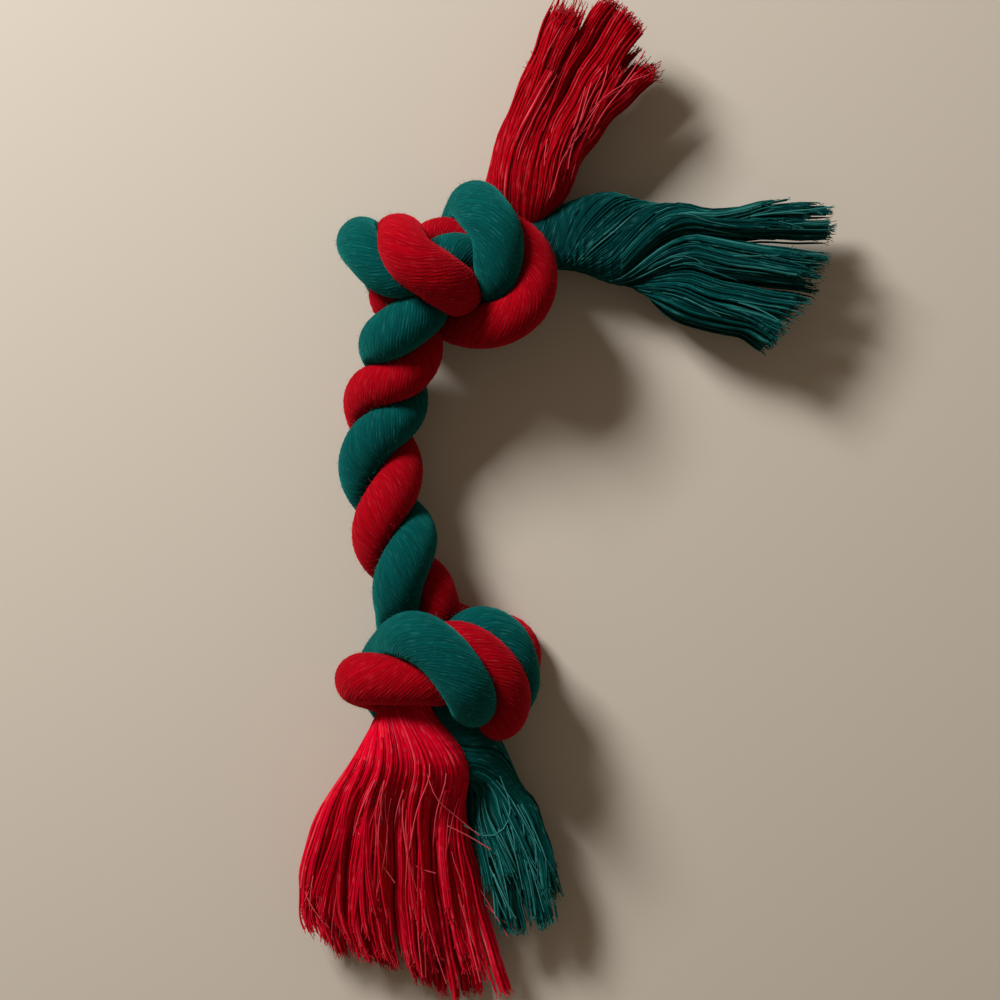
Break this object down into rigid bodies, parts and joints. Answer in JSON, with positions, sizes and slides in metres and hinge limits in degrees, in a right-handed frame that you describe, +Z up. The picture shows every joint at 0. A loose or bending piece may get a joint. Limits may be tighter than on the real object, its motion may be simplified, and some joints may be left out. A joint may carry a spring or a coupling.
{
  "type": "rope dog toy",
  "caption": "Tug and chew toy of twisted cotton rope in red and green, knotted at both ends, with loose tassels past the knots.",
  "frame": {"origin": "centre of the footprint, on the flat surface that the toy lies on", "axes": "+Z up, +Y along the rope from the knot with the long fanned red tassel to the knot at the other end, +X to the right seen from above"},
  "size_m": [0.0861, 0.1664, 0.0284],
  "materials": {
    "red_yarn": "matt cotton yarn",
    "green_yarn": "matt cotton yarn"
  },
  "bodies": {
    "upper_knot": {"red_knot_upper": "red_yarn", "green_knot_upper": "green_yarn", "red_rope_upper": "red_yarn", "green_rope_upper": "green_yarn"},
    "lower_knot": {"red_rope_lower": "red_yarn", "green_rope_lower": "green_yarn", "red_knot_lower": "red_yarn", "green_knot_lower": "green_yarn"},
    "red_tassel_upper": {"red_tassel_upper_root": "red_yarn", "red_tassel_upper_lock_1": "red_yarn", "red_tassel_upper_lock_2": "red_yarn"},
    "green_tassel_upper": {"green_tassel_upper_root": "green_yarn", "green_tassel_upper_lock_1": "green_yarn", "green_tassel_upper_lock_2": "green_yarn", "green_tassel_upper_lock_3": "green_yarn"},
    "red_tassel_lower": {"red_tassel_lower_root": "red_yarn", "red_tassel_lower_lock_1": "red_yarn", "red_tassel_lower_lock_2": "red_yarn", "red_tassel_lower_lock_3": "red_yarn", "red_tassel_lower_lock_4": "red_yarn"},
    "green_tassel_lower": {"green_tassel_lower_root": "green_yarn", "green_tassel_lower_lock_1": "green_yarn", "green_tassel_lower_lock_2": "green_yarn"}
  },
  "joints": [
    {"name": "rope_bend", "type": "hinge", "parent": "upper_knot", "child": "lower_knot", "pos_m": [-0.0304, 0.00502, 0.0088], "axis": [0, 0, 1], "range_deg": [-30, 30]},
    {"name": "red_upper_swing", "type": "hinge", "parent": "upper_knot", "child": "red_tassel_upper", "pos_m": [-0.0092, 0.04836, 0.0048], "axis": [0, 0, 1], "range_deg": [-10, 20]},
    {"name": "green_upper_swing", "type": "hinge", "parent": "upper_knot", "child": "green_tassel_upper", "pos_m": [-0.0003, 0.04415, 0.0044], "axis": [0, 0, 1], "range_deg": [-20, 10]},
    {"name": "red_lower_swing", "type": "hinge", "parent": "lower_knot", "child": "red_tassel_lower", "pos_m": [-0.02585, -0.03757, 0.0125], "axis": [0, 0, 1], "range_deg": [-16, 0]},
    {"name": "green_lower_swing", "type": "hinge", "parent": "lower_knot", "child": "green_tassel_lower", "pos_m": [-0.01308, -0.04337, 0.0087], "axis": [0, 0, 1], "range_deg": [0, 16]}
  ]
}
